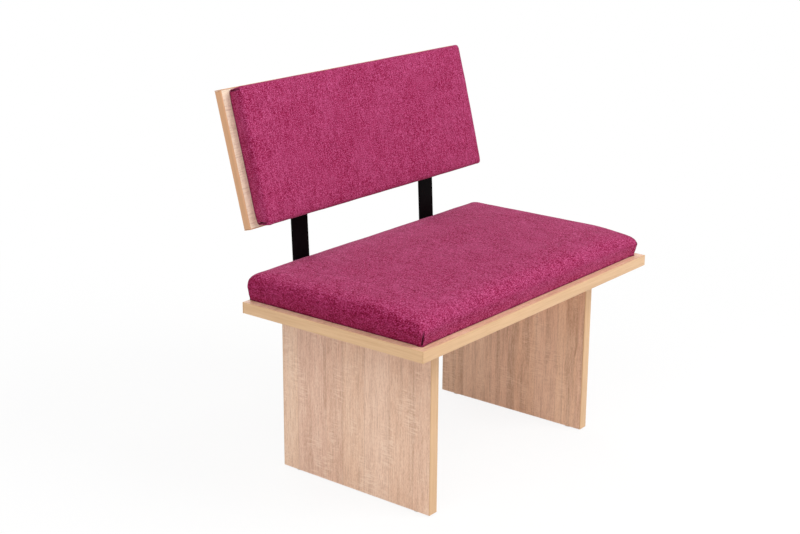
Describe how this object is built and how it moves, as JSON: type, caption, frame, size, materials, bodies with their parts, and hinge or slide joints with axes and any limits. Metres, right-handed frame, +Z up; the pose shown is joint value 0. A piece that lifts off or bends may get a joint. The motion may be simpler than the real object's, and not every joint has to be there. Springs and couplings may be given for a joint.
{
  "type": "upholstered bench",
  "caption": "Short bench with a padded seat on a laminated board, slab legs and a reclined padded back carried by bent flat steel bars.",
  "frame": {"origin": "on the floor, under the middle of the bench's bounding box", "axes": "+Z up, -Y towards the front of the seat, X along the width with -X on the left as seen from the front"},
  "size_m": [0.86, 0.5759, 0.8727],
  "materials": {
    "oak_laminate": "light oak decor on chipboard, matt",
    "edge_band": "wood-effect plastic edge band, satin",
    "black_steel": "black powder coat, satin",
    "zinc_steel": "zinc plated",
    "raspberry_fabric": "short pile woven upholstery fabric",
    "foam": "open-cell upholstery foam",
    "pad_board": "raw chipboard",
    "beech": "raw beech",
    "glide_plastic": "natural white moulded plastic"
  },
  "bodies": {
    "root": {"seat_board": "oak_laminate", "seat_band_front": "edge_band", "seat_band_rear": "edge_band", "seat_band_left": "edge_band", "seat_band_right": "edge_band", "leg_panel_left": "oak_laminate", "leg_band_front_left": "edge_band", "leg_band_rear_left": "edge_band", "leg_panel_right": "oak_laminate", "leg_band_front_right": "edge_band", "leg_band_rear_right": "edge_band", "rail": "oak_laminate", "rail_band": "edge_band", "rail_dowel_left_upper": "beech", "rail_dowel_left_lower": "beech", "rail_dowel_right_upper": "beech", "rail_dowel_right_lower": "beech", "back_board": "oak_laminate", "back_band_top": "edge_band", "back_band_bottom": "edge_band", "back_band_left": "edge_band", "back_band_right": "edge_band", "back_bar_left": "black_steel", "back_bar_right": "black_steel", "seat_pad_base": "pad_board", "seat_pad_foam": "foam", "seat_pad_cover": "raspberry_fabric", "back_pad_base": "pad_board", "back_pad_foam": "foam", "back_pad_cover": "raspberry_fabric", "leg_screw_left_1": "zinc_steel", "leg_screw_left_2": "zinc_steel", "leg_screw_left_3": "zinc_steel", "leg_screw_right_1": "zinc_steel", "leg_screw_right_2": "zinc_steel", "leg_screw_right_3": "zinc_steel", "rail_screw_left": "zinc_steel", "rail_screw_right": "zinc_steel", "bar_screw_seat_left_1": "zinc_steel", "bar_screw_seat_left_2": "zinc_steel", "bar_screw_seat_left_3": "zinc_steel", "bar_screw_seat_right_1": "zinc_steel", "bar_screw_seat_right_2": "zinc_steel", "bar_screw_seat_right_3": "zinc_steel", "bar_screw_back_left_1": "zinc_steel", "bar_screw_back_left_2": "zinc_steel", "bar_screw_back_right_1": "zinc_steel", "bar_screw_back_right_2": "zinc_steel", "seat_pad_screw_1": "zinc_steel", "seat_pad_screw_2": "zinc_steel", "seat_pad_screw_3": "zinc_steel", "seat_pad_screw_4": "zinc_steel", "back_pad_screw_1": "zinc_steel", "back_pad_screw_2": "zinc_steel", "back_pad_screw_3": "zinc_steel", "back_pad_screw_4": "zinc_steel", "glide_left_front": "glide_plastic", "glide_left_rear": "glide_plastic", "glide_right_front": "glide_plastic", "glide_right_rear": "glide_plastic"}
  },
  "joints": []
}
